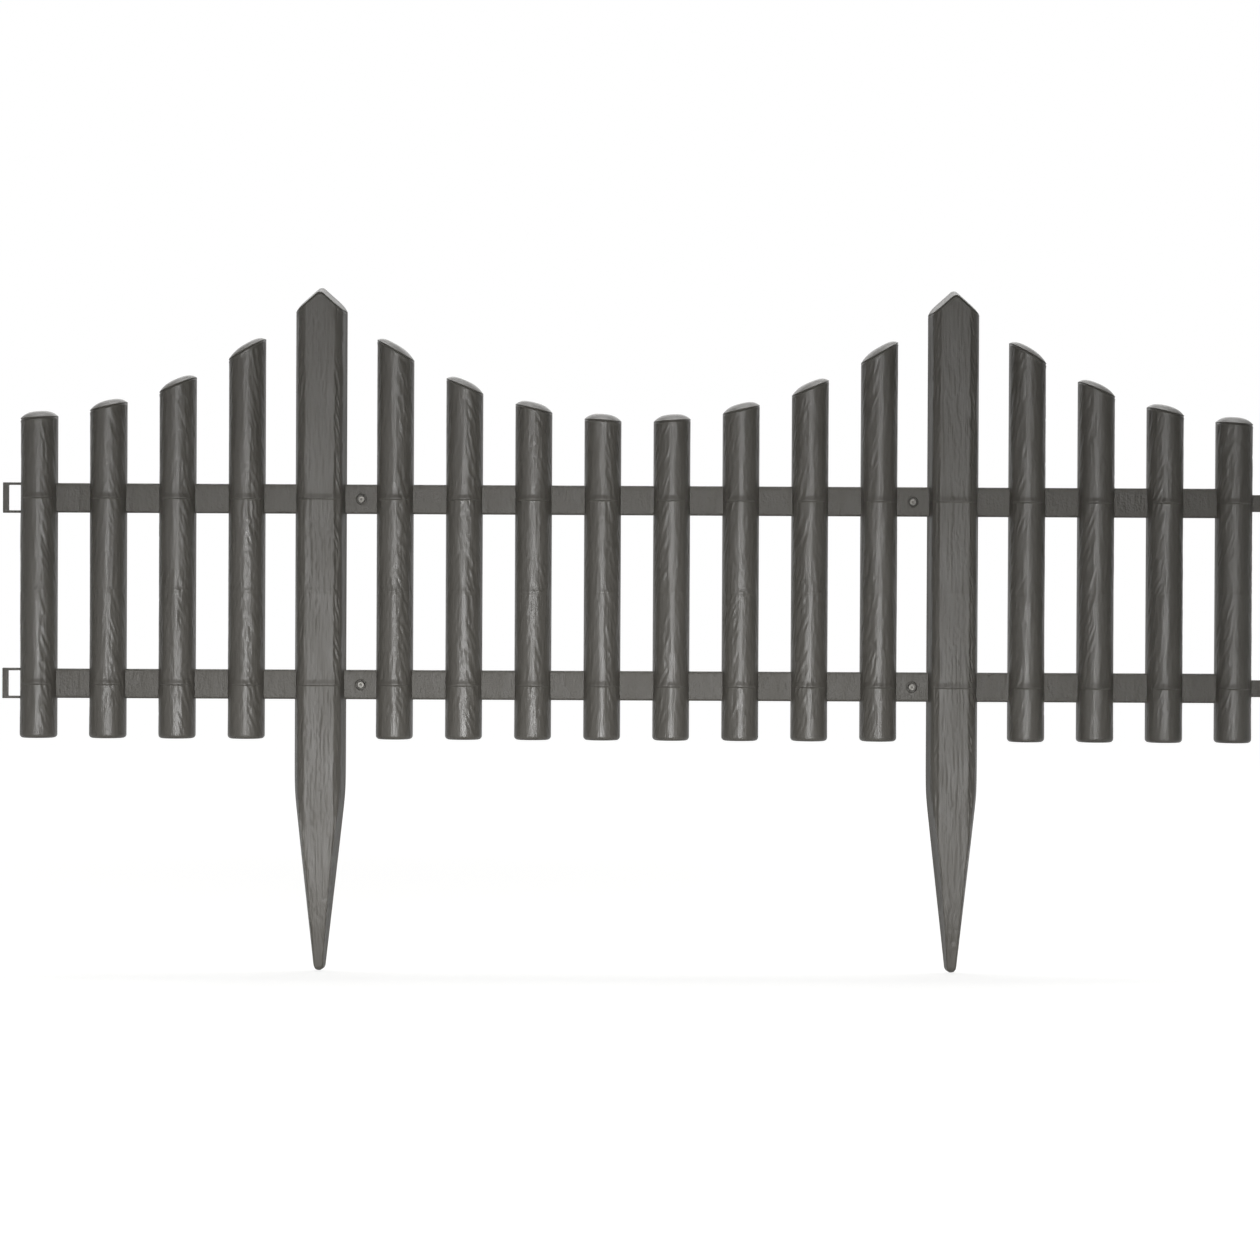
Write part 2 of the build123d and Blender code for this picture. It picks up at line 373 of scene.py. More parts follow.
@dataclass
class Member:
    """One hollow upright of the panel: a section carried up from its foot to its cut top."""

    name: str
    centre: float
    grain: WoodGrain
    row_step: float = 0.7
    sharp_deg: float = 50.0
    cap_rows: int = 7
    sizes: PanelSizes = SIZES
    sink_mm: float = 0.5
    sink_rise: float = 2.6
    sink_drop: float = 0.55
    sink_rows: tuple[float, ...] = (-0.5, -0.35, -0.2, 0.0, 0.35)
    rim_groove_mm: float = 0.4
    rim_groove_drop: float = 0.55
    rim_groove_width: float = 0.35
    sink_middle_share: float = 0.4
    sink_band: Pair = (0.3, 0.75)
    rim_fade: Pair = (0.4, 3.0)
    foot_fade: Pair = (2.0, 16.0)
    foot_share: float = 0.45
    back_fade: Pair = (0.2, 3.2)
    row_clearance: float = 0.3
    least_rows: int = 6
    share_clearance: float = 0.01
    cap_wall: float = 1.2
    rim_zone: float = 1.8
    rim_rows: int = 10

    def outline(self, level: float, inset: float) -> Array:
        """Section at a level, from the left back edge round the front to the right one.

        Args:
            level: Height over the ground.
            inset: Wall that the section is drawn in by.

        Returns:
            Rows of x from the middle line and depth from the back plane.
        """
        raise NotImplementedError

    def top(self, x: Array, depth: Array) -> Array:
        """Level of the cut top over points of the section."""
        raise NotImplementedError

    def foot_levels(self) -> list[float]:
        """Levels of the rounded foot, from the lowest point to where the straight part starts."""
        raise NotImplementedError

    def rib_spans(self) -> list[Pair]:
        """Lower and upper level of each solid web across the hollow."""
        half = self.sizes.rib / 2
        return [(level - half, level + half) for level in self.sizes.rib_levels]

    def shear_level(self) -> float:
        """Level over which the rows lean towards the cut top."""
        raise NotImplementedError

    def rise_over(self, level: float) -> float:
        """Height of the cut top over a level, on the middle line at the back."""
        return float(self.top(np.zeros(1), np.zeros(1))[0]) - level

    def last_hollow(self, rise: float) -> float:
        """Share of the rise to the top at which the hollow ends."""
        return 1 - self.sizes.wall * self.cap_wall / rise

    def rows(self) -> tuple[list[float], list[float]]:
        """Rows of the skin.

        Returns:
            Flat levels from the foot to the shear level, and the shares of the way from
            there to the top.
        """
        start = self.shear_level()
        foot = self.foot_levels()
        levels = set(foot) | set(np.arange(foot[-1], start, self.row_step).tolist())
        edges = [edge for span in self.rib_spans() for edge in span]
        edges += [rib + step for rib in self.sizes.rail_levels for step in self.sink_rows]
        room = self.row_clearance
        levels = [z for z in levels if all(abs(z - edge) > room for edge in edges) and z < start - room]
        flat = sorted(levels + edges + [start])
        rise = self.rise_over(start)
        shares = np.linspace(0, 1, max(self.least_rows, int(rise / self.row_step)) + 1)[1:].tolist()
        last = self.last_hollow(rise)
        shares = [s for s in shares if s < last - self.share_clearance] + [last]
        shares += (1 - np.linspace(self.rim_zone, 0, self.rim_rows) / rise).tolist()
        return flat, sorted(shares)

    def skin(self, inset: float) -> Array:
        """Grid of points over all rows for a section drawn in by a wall.

        Args:
            inset: Wall that the section is drawn in by.

        Returns:
            Array of rows by columns by (x, depth, level).
        """
        flat, shares = self.rows()
        grid = []
        for level in flat:
            section = self.outline(level, inset)
            grid.append(np.column_stack([section, np.full(len(section), level)]))
        start = flat[-1]
        section = self.outline(start, inset)
        rise = self.top(section[:, 0], section[:, 1]) - start
        grid += [np.column_stack([section, start + share * rise]) for share in shares]
        return np.array(grid)

    def sink(self, across: Array, level: Array, half_arc: float) -> Array:
        """Step in the skin where a cross rib lies behind it: a slow swell that ends in a sharp drop.

        Args:
            across: Distances from the middle line round the section, in millimetres.
            level: Levels, in millimetres.
            half_arc: Distance from the middle line to the back edge.

        Returns:
            How far the skin swells out, in millimetres.
        """
        swell = np.zeros_like(level)
        for rib in self.sizes.rib_levels:
            share = 1.0 if rib in self.sizes.rail_levels else self.sink_middle_share
            over = level - rib
            rise = smooth_step(-over, -self.sink_rise, 0.0)
            swell += share * rise * smooth_step(over, -self.sink_drop, 0.0)
        near, far = (share * half_arc for share in self.sink_band)
        return self.sink_mm * swell * smooth_step(-np.abs(across), -far, -near)

    def carve(self, skin: Array) -> Array:
        """Press the moulded grain into the outer skin.

        Args:
            skin: Plain outer skin.

        Returns:
            Skin with its relief; the back edges stay where they are.
        """
        steps = np.diff(skin[:, :, :2], axis=1)
        walked = np.cumsum(np.linalg.norm(steps, axis=2), axis=1)
        lengths = np.concatenate([np.zeros((len(skin), 1)), walked], axis=1)
        across = lengths - lengths[:, -1:] / 2
        tangent = np.gradient(skin[:, :, :2], axis=1)
        tangent /= np.maximum(np.linalg.norm(tangent, axis=2, keepdims=True), 1e-9)
        outward = np.stack([-tangent[:, :, 1], tangent[:, :, 0]], axis=2)
        half_arc = float(lengths[len(lengths) // 2, -1] / 2)
        level = skin[:, :, 2]
        depth = self.grain.depth(across, level, half_arc) - self.sink(across, level, half_arc)
        drop = skin[-1:, :, 2] - skin[:, :, 2]
        over_foot = smooth_step(level - level.min(), *self.foot_fade)
        depth *= smooth_step(drop, *self.rim_fade)
        depth *= self.foot_share + (1 - self.foot_share) * over_foot
        from_groove = (drop - self.rim_groove_drop) / self.rim_groove_width
        depth += self.rim_groove_mm * np.exp(-(from_groove**2))
        depth = depth * smooth_step(skin[:, :, 1], *self.back_fade)
        carved = skin.copy()
        carved[:, :, :2] -= outward * depth[:, :, None]
        carved[:, :, 1] = np.maximum(carved[:, :, 1], 0.0)
        return carved

    def build(self) -> Object:
        """Make the closed mesh: skin, cut top, foot, back edges, hollow cells and ribs.

        Returns:
            The piece.
        """
        outer = self.carve(self.skin(0.0))
        inner = self.skin(self.sizes.wall)
        flat, shares = self.rows()
        rows, columns = outer.shape[:2]
        inner_columns = inner.shape[1]
        cap = self.cap_points(outer[-1])
        points = np.concatenate([outer.reshape(-1, 3), inner.reshape(-1, 3), cap.reshape(-1, 3)])
        points = np.column_stack([points[:, 0] + self.centre, -points[:, 1], points[:, 2]])
        out = np.arange(rows * columns).reshape(rows, columns)
        ins = rows * columns + np.arange(rows * inner_columns).reshape(rows, inner_columns)
        top = rows * (columns + inner_columns) + np.arange(cap.shape[0] * columns).reshape(-1, columns)
        solid = self.solid_rows(flat, shares)
        faces: list[list[int]] = quads(out) + quads(np.vstack([out[-1:], top]))
        for j in range(rows - 1):
            faces.append([out[j, 0], out[j + 1, 0], ins[j + 1, 0], ins[j, 0]])
            faces.append([ins[j, -1], ins[j + 1, -1], out[j + 1, -1], out[j, -1]])
            if solid[j]:
                faces.append([ins[j, 0], ins[j + 1, 0], ins[j + 1, -1], ins[j, -1]])
                continue
            faces += [face[::-1] for face in quads(ins[j : j + 2])]
            if solid[j - 1]:
                faces.append(ins[j].tolist())
            if solid[j + 1]:
                faces.append(ins[j + 1][::-1].tolist())
        faces.append([*out[0][::-1], ins[0, 0], ins[0, -1]])
        faces.append([*top[-1], ins[-1, -1], ins[-1, 0]])
        return make_object(self.name, points, faces, self.sharp_deg)

    def cap_points(self, rim: Array) -> Array:
        """Rows of the cut top, from just behind the front rim to the back plane.

        Args:
            rim: Top row of the carved skin.

        Returns:
            Array of rows by columns by (x, depth, level).
        """
        rows = []
        for share in np.linspace(0, 1, self.cap_rows + 1)[1:]:
            depth = rim[:, 1] * (1 - share)
            plain = self.top(rim[:, 0], depth) - self.top(rim[:, 0], rim[:, 1])
            rows.append(np.column_stack([rim[:, 0], depth, rim[:, 2] + plain]))
        return np.array(rows)

    def solid_rows(self, flat: list[float], shares: list[float]) -> list[bool]:
        """Say for each strip between two rows whether it is solid right through.

        Args:
            flat: Flat levels of the skin.
            shares: Shares of the way to the top of the rows over them.

        Returns:
            One flag for each strip.
        """
        floor = flat[0] + self.sizes.wall
        spans = self.rib_spans()
        middles = [(a + b) / 2 for a, b in zip(flat, flat[1:])]
        lower = [m < floor or any(a < m < b for a, b in spans) for m in middles]
        last = self.last_hollow(self.rise_over(flat[-1]))
        starts = [0.0] + shares
        upper = [(a + b) / 2 > last for a, b in zip(starts, shares)]
        return lower + upper


def quads(grid: Array) -> list[list[int]]:
    """Faces over a grid of point numbers, rows from low to high, columns from left to right."""
    corners = np.stack([grid[:-1, :-1], grid[:-1, 1:], grid[1:, 1:], grid[1:, :-1]], axis=-1)
    return corners.reshape(-1, 4).tolist()


@dataclass
class Picket(Member):
    """Half-round picket with a slanted, softly domed top and a rounded foot."""

    rim_height: float = 40.0
    slope_deg: float = 4.0
    fall: Fall = Fall.TO_RIGHT
    cap_rise: float = 2.9
    cap_power: float = 3.2
    foot_round: float = 1.7
    arc_points: int = 57
    hollow_points: int = 13
    land_points: int = 3
    foot_rows: int = 6
    shear_gap: float = 2.0

    def outline(self, level: float, inset: float) -> Array:
        """Half-round section with a short straight land at the back."""
        rise = max(0.0, self.foot_round - level)
        foot = self.foot_round - math.sqrt(max(0.0, self.foot_round**2 - rise**2)) if inset == 0 else 0.0
        radius = self.sizes.picket_width / 2 - inset - foot
        count = self.arc_points if inset == 0 else self.hollow_points
        turn = np.linspace(math.pi, 0, count)
        arc = np.column_stack([radius * np.cos(turn), self.sizes.picket_land + radius * np.sin(turn)])
        land = np.linspace(0, self.sizes.picket_land, self.land_points)[:-1]
        left = np.column_stack([np.full(len(land), -radius), land])
        return np.concatenate([left, arc, left[::-1] * (-1, 1)])

    def top(self, x: Array, depth: Array) -> Array:
        """Slanted rim with a pillow-shaped dome over it."""
        radius = self.sizes.picket_width / 2
        rim = self.sizes.upper_rail + self.rim_height
        fall = -self.fall.value * math.tan(math.radians(self.slope_deg)) * x
        front = np.maximum(depth - self.sizes.picket_land, 0.0)
        share = np.minimum(np.hypot(x, front) / radius, 1.0)
        return rim + fall + self.cap_rise * (1 - share**self.cap_power)

    def foot_levels(self) -> list[float]:
        """Levels round the foot's edge."""
        turns = np.linspace(0, math.pi / 2, self.foot_rows)
        return [self.foot_round * (1 - math.cos(turn)) for turn in turns]

    def shear_level(self) -> float:
        """Rows lean from a little over the upper rail."""
        return self.sizes.upper_rail + self.sizes.rail_height / 2 + self.shear_gap


@dataclass
class Stake(Member):
    """Ground stake: gabled top, flat front with chamfered flanks, and a spike."""

    face_width: float = 14.4
    flank: float = 7.0
    depth: float = 12.15
    peak_height: float = 99.1
    peak_round: float = 2.4
    roof_deg: float = 41.5
    shoulder_round: float = 2.0
    spike_start: float = 24.5
    spike_length: float = 83.2
    tip_width: float = 5.2
    tip_depth: float = 5.0
    tip_round: float = 2.4
    spike_ease: float = 0.035
    arris: float = 0.9
    flank_bulge: float = 0.35
    spike_rib_step: float = 27.0
    spike_power: float = 3.2
    tip_rib: Pair = (1.0, 8.0)
    gable_rise: float = 40.0
    shoulder_soft: float = 0.5
    shoulder_share: float = 0.8
    least_half: float = 0.25
    least_depth: float = 0.6
    flank_limit: float = 0.94
    face_inset: float = 0.06
    face_share: float = 0.5
    arris_limits: Pair = (0.45, 0.5)
    skin_counts: tuple[int, ...] = (4, 18, 5, 22)
    hollow_counts: tuple[int, ...] = (2, 2, 2, 3)
    foot_rows: int = 6
    foot_turn: float = 0.15

    @property
    def tip(self) -> float:
        """Level of the spike's tip."""
        return -self.spike_start - self.spike_length

    def half_width(self, level: float) -> float:
        """Half the width of the front outline at a level, with the bend into the spike eased."""
        half, half_tip = self.sizes.stake_width / 2, self.tip_width / 2
        share = (level - self.tip) / self.spike_length
        share -= self.spike_ease * math.log1p(math.exp((share - 1) / self.spike_ease))
        taper = half_tip + (half - half_tip) * share
        rise = max(0.0, self.tip_round - (level - self.tip))
        return taper - self.tip_round + math.sqrt(max(0.0, self.tip_round**2 - rise**2))

    def front_depth(self, level: float) -> float:
        """Depth of the front face at a level: the spike curves back towards its tip."""
        down = max(0.0, -self.spike_start - level) / self.spike_length
        rise = max(0.0, self.tip_round - (level - self.tip))
        tip = self.tip_round - math.sqrt(max(0.0, self.tip_round**2 - rise**2))
        return self.depth - (self.depth - self.tip_depth) * down**self.spike_power - tip

    def outline(self, level: float, inset: float) -> Array:
        """Half-octagon section, trimmed by the drafted front outline and the side view."""
        half = max(self.half_width(level) - inset, self.least_half)
        depth = max(self.front_depth(level) - inset, self.least_depth)
        lean = (self.sizes.stake_width - self.face_width) / 2 / (self.depth - self.flank)
        draft = math.tan(math.radians(self.sizes.stake_draft_deg))
        shift = inset * math.hypot(1, lean)
        corner = self.sizes.stake_width / 2 + lean * self.flank - shift
        flank = min((corner - half) / (lean - draft), depth * self.flank_limit)
        flank_x = half - flank * draft
        face = min(corner - lean * depth, half - depth * draft - self.face_inset * half)
        face = max(face, self.face_share * half)
        chamfer_part, face_part = self.arris_limits
        ease = chamfer_part * math.hypot(flank_x - face, depth - flank)
        ease = min(self.arris, ease, face_part * face)
        counts = self.skin_counts if inset == 0 else self.hollow_counts
        back, bend, arris = np.array([half, 0.0]), np.array([flank_x, flank]), np.array([face, depth])
        run = (arris - bend) / max(np.linalg.norm(arris - bend), 1e-6)
        before, after = arris - run * ease, arris - np.array([ease, 0.0])
        right = [back + (bend - back) * t for t in np.linspace(0, 1, counts[0], endpoint=False)]
        bulge = self.flank_bulge * np.array([run[1], -run[0]]) if inset == 0 else np.zeros(2)
        for t in np.linspace(0, 1, counts[1], endpoint=False):
            right.append(bend + (before - bend) * t + bulge * 4 * t * (1 - t))
        for t in np.linspace(0, 1, counts[2], endpoint=False):
            right.append(before * (1 - t) ** 2 + arris * 2 * t * (1 - t) + after * t**2)
        right += [after * (1 - t) + np.array([0.0, depth]) * t for t in np.linspace(0, 1, counts[3])]
        right = np.array(right)
        return np.concatenate([right[:-1] * (-1, 1), right[::-1]])

    def top(self, x: Array, depth: Array) -> Array:
        """Gabled roof whose end faces lean back a little, with soft shoulders."""
        roof, draft = math.radians(self.roof_deg), math.radians(self.sizes.stake_draft_deg)
        peak = self.sizes.upper_rail + self.peak_height
        reach = np.minimum(np.abs(x), self.peak_round * math.sin(roof))
        ridge = np.abs(x) * math.tan(roof) - reach * math.tan(roof)
        ridge += self.peak_round / math.cos(roof) - np.sqrt(self.peak_round**2 - reach**2)
        distance = self.sizes.stake_width / 2 - np.abs(x)
        fade = np.exp(-np.maximum(distance, 0) / (self.shoulder_soft * self.shoulder_round))
        shoulder = self.shoulder_round * fade
        lean = depth * math.tan(draft) / math.cos(roof)
        return peak - ridge - lean - self.shoulder_share * shoulder

    def foot_levels(self) -> list[float]:
        """Levels round the spike's tip."""
        turns = np.linspace(self.foot_turn, math.pi / 2, self.foot_rows)
        return [self.tip + self.tip_round * (1 - math.cos(turn)) for turn in turns]

    def rib_spans(self) -> list[Pair]:
        """Webs of every member, one at the ground line, and those down the spike."""
        half, ground = self.sizes.rib / 2, self.sizes.ground_rib / 2
        count = int(self.spike_length // self.spike_rib_step)
        spike = [-self.spike_start - number * self.spike_rib_step for number in range(count)]
        spans = [(level - half, level + half) for level in [*spike, *self.sizes.rib_levels]]
        low, high = self.tip_rib
        return sorted([*spans, (-ground, ground), (self.tip + low, self.tip + high)])

    def shear_level(self) -> float:
        """Rows lean towards the gable over its last stretch."""
        return self.sizes.upper_rail + self.peak_height - self.gable_rise


@dataclass
class Rail:
    """Flat rail: a strip in each gap, let into its members, with gate marks in two of them."""

    name: str
    level: float
    gaps: Sequence[Pair]
    gate_gaps: Sequence[int]
    sizes: PanelSizes = SIZES
    edge_round: float = 1.1
    root: float = 0.9
    gate_half: float = 3.7
    gate_rings: tuple[Pair, ...] = (
        (3.3, 0.0), (2.65, 0.04), (2.45, 0.2), (2.4, 2.1), (2.3, 2.2), (1.65, 2.2), (1.55, 2.1),
        (1.5, -0.5), (1.4, -0.75), (1.15, -0.85), (0.7, -0.85), (0.55, -0.75), (0.45, 0.3), (0.2, 0.4),
    )
    nub_ring: int = 7
    gate_points: int = 40
    edge_points: int = 4

    def build(self) -> Object:
        """Make the strips as one piece.

        Returns:
            The piece.
        """
        work = bmesh.new()
        for number, (left, right) in enumerate(self.gaps):
            self.add_strip(work, left, right, number in self.gate_gaps)
        return finish_object(self.name, bpy.data.meshes.new(self.name), work, SHARP_DEG)

    def section(self) -> list[Pair]:
        """Outline of the strip's end: depth and height over the middle line, once round."""
        half, front, soft = self.sizes.rail_height / 2, self.sizes.rail_thickness, self.edge_round
        turns = np.linspace(0, math.pi / 2, self.edge_points)
        upper = [
            (front - soft * (1 - math.sin(turn)), half - soft * (1 - math.cos(turn))) for turn in turns
        ]
        upper.append((front, self.gate_half))
        return [(0.0, -half), (0.0, half), *upper, *[(depth, -height) for depth, height in reversed(upper)]]

    def add_strip(self, work: BMesh, left: float, right: float, gate: bool) -> None:
        """Add the strip in one gap.

        Args:
            work: Geometry of the rail.
            left: Left limit of the gap.
            right: Right limit of the gap.
            gate: Whether the strip carries a gate mark.
        """
        middle = (left + right) / 2
        rings = []
        for x in (left - self.root, middle - self.gate_half, middle + self.gate_half, right + self.root):
            spots = [(x * MM, -depth * MM, (self.level + height) * MM) for depth, height in self.section()]
            rings.append([work.verts.new(spot) for spot in spots])
        border = []
        front = self.edge_points + 3  # side of the section between the two gate limits
        for number, (a, b) in enumerate(zip(rings, rings[1:])):
            for k in range(len(a)):
                if gate and (number, k) == (1, front):
                    border += [(a[k - 1], a[k]), (b[k - 1], b[k]), (a[k - 1], b[k - 1]), (a[k], b[k])]
                else:
                    work.faces.new([a[k - 1], b[k - 1], b[k], a[k]])
        work.faces.new(rings[0])
        work.faces.new(rings[-1][::-1])
        if gate:
            self.add_gate(work, border, middle)
        bmesh.ops.recalc_face_normals(work, faces=work.faces)

    def add_gate(self, work: BMesh, border: Sequence[tuple[Any, Any]], x: float) -> None:
        """Fill the square left in a strip's front with a gate mark: a nub, coloured paler as a painted
        highlight, in a round recess.

        Args:
            work: Geometry of the rail.
            border: Corner pairs of the square's sides.
            x: Middle of the gap.
        """
        turns = np.linspace(0, 2 * math.pi, self.gate_points, endpoint=False)
        rings = []
        for radius, sink in self.gate_rings:
            y = (-self.sizes.rail_thickness + sink) * MM
            ring = []
            for turn in turns:
                z = self.level + radius * math.sin(turn)
                ring.append(work.verts.new(((x + radius * math.cos(turn)) * MM, y, z * MM)))
            rings.append(ring)
        # Faces from the nub ring inward take the second slot: a paler plastic that paints the highlight on
        # the nub's face.
        for number, (outer, inner) in enumerate(zip(rings, rings[1:])):
            for k in range(len(turns)):
                face = work.faces.new([outer[k - 1], outer[k], inner[k], inner[k - 1]])
                face.material_index = int(number >= self.nub_ring)
        work.faces.new(rings[-1])
        edges = [work.edges.get(pair) for pair in border]
        edges = [edge for edge in edges if edge is not None and len(edge.link_faces) == 1]
        edges += [work.edges.get((rings[0][k - 1], rings[0][k])) for k in range(len(turns))]
        bmesh.ops.triangle_fill(work, edges=edges, use_beauty=True, normal=Vector((0, -1, 0)))


@dataclass
class Loop:
    """Open rectangular loop on the left end that takes the next panel's tongue."""

    name: str
    level: float
    sizes: PanelSizes = SIZES
    reach: float = 8.3
    height: float = 14.2
    bar: float = 1.2
    end_bar: float = 2.8
    thickness: float = 1.5
    edge_round: float = 0.3

    def build(self) -> Object:
        """Make the three bars of the loop as one bent strip.

        Returns:
            The piece.
        """
        edge = self.sizes.left_edge + self.sizes.wall / 2
        end = self.sizes.left_edge - self.reach
        half, window = self.height / 2, self.height / 2 - self.bar
        outline = [(edge, half), (end, half), (end, -half), (edge, -half)]
        inside = end + self.end_bar
        outline += [(edge, -window), (inside, -window), (inside, window), (edge, window)]
        front, back = [[(x, -y, self.level + z) for x, z in outline] for y in (self.thickness, 0.0)]
        return softened_bar(self.name, front, back, self.edge_round)


def softened_bar(
    name: str, near: Sequence[Sequence[float]], far: Sequence[Sequence[float]], radius: float
) -> Object:
    """Close two matching outlines into a bar and soften its edges.

    Args:
        name: Name of the piece.
        near: Points of one end, in millimetres, in order round it.
        far: Points of the other end, in the same order.
        radius: Rounding of the edges, in millimetres.

    Returns:
        The piece.
    """
    work = bmesh.new()
    a, b = [[work.verts.new([value * MM for value in point]) for point in end] for end in (near, far)]
    work.faces.new(a)
    work.faces.new(b[::-1])
    for k in range(len(a)):
        work.faces.new([a[k - 1], b[k - 1], b[k], a[k]])
    bmesh.ops.recalc_face_normals(work, faces=work.faces)
    edges = list(work.edges)
    bmesh.ops.bevel(work, geom=edges, offset=radius * MM, segments=2, profile=0.6, affect="EDGES")
    return finish_object(name, bpy.data.meshes.new(name), work, SHARP_DEG)


@dataclass
class Tongue:
    """Tongue on the right end: a strip with a lug that drops into a loop's window."""

    name: str
    level: float
    loop: Loop
    sizes: PanelSizes = SIZES
    height: float = 7.9
    clearance: float = 0.3
    edge_round: float = 0.3

    def build(self) -> Object:
        """Make the strip and its lug as one stepped bar.

        Returns:
            The piece.
        """
        gap = self.sizes.picket_pitch - self.sizes.picket_width
        start = self.sizes.right_edge - self.sizes.wall / 2
        window = self.sizes.right_edge + gap - self.loop.reach + self.loop.end_bar
        lug, end = window + self.clearance, self.sizes.right_edge + gap - self.clearance
        strip_back = self.loop.thickness + self.clearance
        front = self.sizes.rail_thickness
        plan = [(start, front), (start, strip_back), (lug, strip_back)]
        plan += [(lug, 0.0), (end, 0.0), (end, front)]
        half = self.height / 2
        low, high = [[(x, -y, self.level + z) for x, y in plan] for z in (-half, half)]
        return softened_bar(self.name, low, high, self.edge_round)


@dataclass(frozen=True)
class MouldedPolypropylene:
    """Injection-moulded polypropylene, dark grey all through, with a satin skin.

    The mould's fine texture scatters the highlight, so the plastic looks satin rather than
    glossy; slow flow marks change its gloss a little from place to place.
    """

    name: str
    light: str = "#3f3d39"
    dark: str = "#373531"
    ior: float = 1.49
    specular: float = 0.3
    roughness: Pair = (0.37, 0.45)
    mottle_mm: float = 9.0
    fibre_mm: float = 0.7
    fibre_stretch: float = 16.0
    grit_mm: float = 0.45
    fibre_bump_mm: float = 0.1
    grit_bump_mm: float = 0.04
    mottle_bump_mm: float = 0.2
    mottle_repeat: Triple = (1.0, 1.0, 0.35)
    fibre_tint: float = 0.45
    tint_range: Pair = (0.45, 1.0)
    gloss_range: Pair = (0.3, 0.7)
    noise_roughness: float = 0.55

    def material(self) -> Material:
        """Make the material.

        Returns:
            The material, named for the plastic.
        """
        material = bpy.data.materials.new(self.name)
        material.use_nodes = True
        tree = material.node_tree
        tree.nodes.clear()
        place = add_node(tree, "ShaderNodeTexCoord", {}, {}).outputs["Object"]
        mottle = self.noise(tree, place, self.mottle_mm, self.mottle_repeat, 3.0)
        fibre = self.noise(tree, place, self.fibre_mm, (1.0, 1.0, 1.0 / self.fibre_stretch), 2.0)
        grit = self.noise(tree, place, self.grit_mm, (1.0, 1.0, 1.0), 1.0)
        blend = math_node(tree, "MULTIPLY_ADD", fibre, self.fibre_tint, mottle)
        tone = ranged(tree, blend, self.tint_range, (0.0, 1.0))
        colour = add_node(
            tree, "ShaderNodeMix", {"data_type": "RGBA"},
            {0: tone, 6: linear(self.dark), 7: linear(self.light)},
        )
        colour_out = next(socket for socket in colour.outputs if socket.type == "RGBA")
        gloss = ranged(tree, mottle, self.gloss_range, self.roughness)
        normal = add_node(
            tree, "ShaderNodeBump", {}, {"Height": grit, "Distance": self.grit_bump_mm * MM}
        ).outputs[0]
        for height, depth_mm in ((fibre, self.fibre_bump_mm), (mottle, self.mottle_bump_mm)):
            normal = add_node(
                tree, "ShaderNodeBump", {}, {"Height": height, "Distance": depth_mm * MM, "Normal": normal}
            ).outputs[0]
        shader = add_node(
            tree, "ShaderNodeBsdfPrincipled", {},
            {"Base Color": colour_out, "Roughness": gloss, "IOR": self.ior,
             "Specular IOR Level": self.specular, "Normal": normal},
        )
        add_node(tree, "ShaderNodeOutputMaterial", {}, {"Surface": shader.outputs[0]})
        return material

    def noise(
        self, tree: NodeTree, place: NodeSocket, size_mm: float, shape: Triple, detail: float
    ) -> NodeSocket:
        """Add noise of a real size, drawn out along the axes.

        Args:
            tree: The material's nodes.
            place: Coordinates in metres.
            size_mm: Size of one patch of noise.
            shape: How often the noise repeats along each axis, against that size.
            detail: Levels of finer noise.

        Returns:
            The noise value.
        """
        stretched = add_node(
            tree, "ShaderNodeMapping", {"vector_type": "POINT"}, {"Vector": place, "Scale": shape}
        ).outputs[0]
        scale = 1.0 / (size_mm * MM)
        noise = add_node(
            tree, "ShaderNodeTexNoise", {},
            {"Vector": stretched, "Scale": scale, "Detail": detail, "Roughness": self.noise_roughness},
        )
        return noise.outputs[0]


@dataclass(frozen=True)
class Lamp:
    """Soft rectangular lamp of the studio, in millimetres, metres, watts and degrees."""

    name: str
    place_mm: Triple
    target_mm: Triple
    size_m: Pair
    power: float
    spread_deg: float

    def build(self) -> None:
        """Make the lamp and aim it."""
        lamp = bpy.data.lights.new(self.name, "AREA")
        lamp.shape = "RECTANGLE"
        lamp.size, lamp.size_y = self.size_m
        lamp.energy = self.power
        lamp.spread = math.radians(self.spread_deg)
        holder = bpy.data.objects.new(self.name, lamp)
        holder.location = Vector(self.place_mm) * MM
        aim = (Vector(self.target_mm) - Vector(self.place_mm)).normalized()
        holder.rotation_euler = aim.to_track_quat("-Z", "Y").to_euler()
        bpy.context.scene.collection.objects.link(holder)


